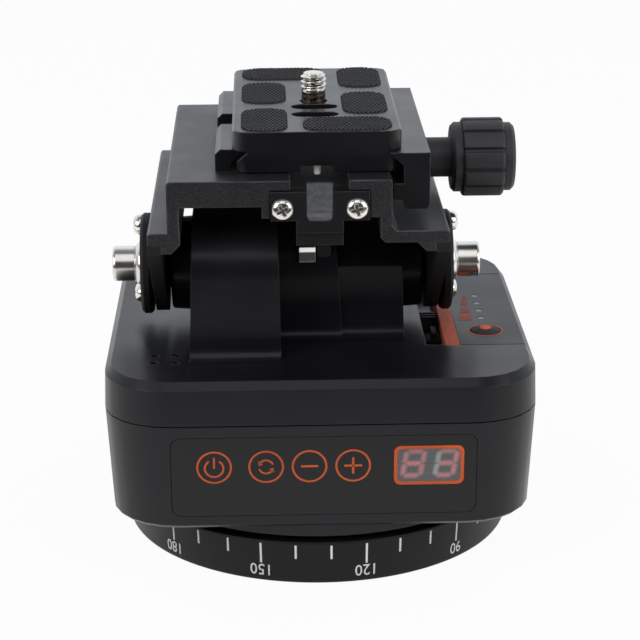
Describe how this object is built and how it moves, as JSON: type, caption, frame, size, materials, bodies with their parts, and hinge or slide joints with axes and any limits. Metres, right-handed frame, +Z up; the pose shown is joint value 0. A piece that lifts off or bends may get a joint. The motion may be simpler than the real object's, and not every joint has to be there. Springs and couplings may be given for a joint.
{
  "type": "remote pan tilt head",
  "caption": "Battery-run remote head: a square motor housing turns on a graduated dial base, towers on its top carry a tilting bracket with a dovetail clamp and quick release plate.",
  "frame": {"origin": "centre of the flat underside of the dial base, on the pan axis", "axes": "+Z up along the pan axis; -Y is the front with the control panel; +X towards the clamp knob"},
  "size_m": [0.106, 0.1042, 0.1186],
  "materials": {
    "housing_plastic": "satin black moulded plastic",
    "overlay_film": "satin black membrane film with orange print",
    "rubber": "matt black rubber",
    "grained_aluminium": "grainy black anodised aluminium",
    "smooth_aluminium": "satin black anodised aluminium",
    "steel": "turned steel",
    "nickel": "polished nickel plate",
    "brass": "cut brass",
    "nylon": "natural nylon",
    "orange_plastic": "semi matt orange plastic",
    "bare_metal": "grey bare metal",
    "smoked_window": "smoked gloss plastic",
    "light_guide": "milky clear plastic",
    "circuit": "green solder mask"
  },
  "bodies": {
    "base": {"dial_base": "housing_plastic", "base_pad": "rubber", "tripod_bush": "steel", "pan_hub": "smooth_aluminium", "pan_bearing": "steel", "pan_gear": "brass", "hub_nut": "steel"},
    "pan_head": {"lower_shell": "housing_plastic", "upper_shell": "housing_plastic", "control_overlay": "overlay_film", "display_window": "smoked_window", "display_module": "smoked_window", "circuit_board": "circuit", "case_screw_1": "steel", "case_screw_2": "steel", "case_screw_3": "steel", "case_screw_4": "steel", "pan_motor": "steel", "tilt_motor": "steel", "battery_contact": "steel"},
    "pan_pinion": {"pan_pinion": "nylon"},
    "tilt_pinion": {"tilt_pinion": "nylon"},
    "tilt_bracket": {"bracket": "grained_aluminium", "left_arm": "smooth_aluminium", "right_arm": "smooth_aluminium", "left_disc": "smooth_aluminium", "right_disc": "smooth_aluminium", "left_tilt_shaft": "steel", "right_tilt_shaft": "steel", "left_upper_disc_screw": "nickel", "left_lower_disc_screw": "nickel", "right_upper_disc_screw": "nickel", "right_lower_disc_screw": "nickel", "tilt_gear": "brass", "channel_cover": "smooth_aluminium", "stop_tab": "bare_metal", "left_cover_screw": "nickel", "right_cover_screw": "nickel", "fixed_jaw": "smooth_aluminium"},
    "moving_jaw": {"moving_jaw": "smooth_aluminium"},
    "clamp_knob": {"clamp_screw": "steel", "knob_body": "rubber", "knob_grip": "rubber", "knob_cap": "rubber"},
    "release_plate": {"quick_release_plate": "smooth_aluminium", "front_left_pad": "rubber", "back_right_pad": "rubber", "middle_left_pad": "rubber", "middle_right_pad": "rubber", "front_right_pad": "rubber", "back_left_pad": "rubber", "plate_stop_screw": "nickel"},
    "camera_screw": {"camera_screw": "nickel"},
    "battery_pack": {"battery_case": "housing_plastic", "battery_end_cap": "orange_plastic", "light_pipe": "light_guide", "lower_cell": "steel", "upper_cell": "steel"},
    "battery_button": {"battery_button": "rubber"},
    "pack_latch": {"pack_latch": "housing_plastic"}
  },
  "joints": [
    {"name": "pan", "type": "hinge", "parent": "base", "child": "pan_head", "pos_m": [0, 0, 0.03], "axis": [0, 0, 1], "continuous": true},
    {"name": "pan_pinion_spin", "type": "hinge", "parent": "pan_head", "child": "pan_pinion", "pos_m": [-0.02121, 0.02121, 0.0225], "axis": [0, 0, 1], "continuous": true},
    {"name": "tilt", "type": "hinge", "parent": "pan_head", "child": "tilt_bracket", "pos_m": [-0.0052, -0.0045, 0.0692], "axis": [1, 0, 0], "range_deg": [-15, 15]},
    {"name": "tilt_pinion_spin", "type": "hinge", "parent": "pan_head", "child": "tilt_pinion", "pos_m": [-0.0269, -0.0221, 0.0692], "axis": [1, 0, 0], "range_deg": [-40, 40]},
    {"name": "clamp_slide", "type": "slide", "parent": "tilt_bracket", "child": "moving_jaw", "axis": [1, 0, 0], "range_m": [0, 0.004]},
    {"name": "knob_turn", "type": "hinge", "parent": "moving_jaw", "child": "clamp_knob", "pos_m": [0.0398, -0.0045, 0.0962], "axis": [1, 0, 0], "range_deg": [0, 1440]},
    {"name": "plate_slide", "type": "slide", "parent": "tilt_bracket", "child": "release_plate", "axis": [0, 1, 0], "range_m": [-0.007, 0.018]},
    {"name": "camera_screw_turn", "type": "hinge", "parent": "release_plate", "child": "camera_screw", "pos_m": [-0.00055, -0.0053, 0.11], "axis": [0, 0, 1], "continuous": true},
    {"name": "pack_slide", "type": "slide", "parent": "pan_head", "child": "battery_pack", "axis": [1, 0, 0], "range_m": [0, 0.06]},
    {"name": "battery_button_press", "type": "slide", "parent": "battery_pack", "child": "battery_button", "axis": [0, 0, -1], "range_m": [0, 0.0008], "stiffness_N_per_m": 1500, "springref_m": -0.0006},
    {"name": "latch_slide", "type": "slide", "parent": "pan_head", "child": "pack_latch", "axis": [0, -1, 0], "range_m": [0, 0.002], "stiffness_N_per_m": 400, "springref_m": -0.001}
  ],
  "couplings": [
    {"joint": "pan_pinion_spin", "follows": "pan", "ratio": 4},
    {"joint": "tilt_pinion_spin", "follows": "tilt", "ratio": -2.6667},
    {"joint": "knob_turn", "follows": "clamp_slide", "rad_per_m": 6283.2}
  ]
}
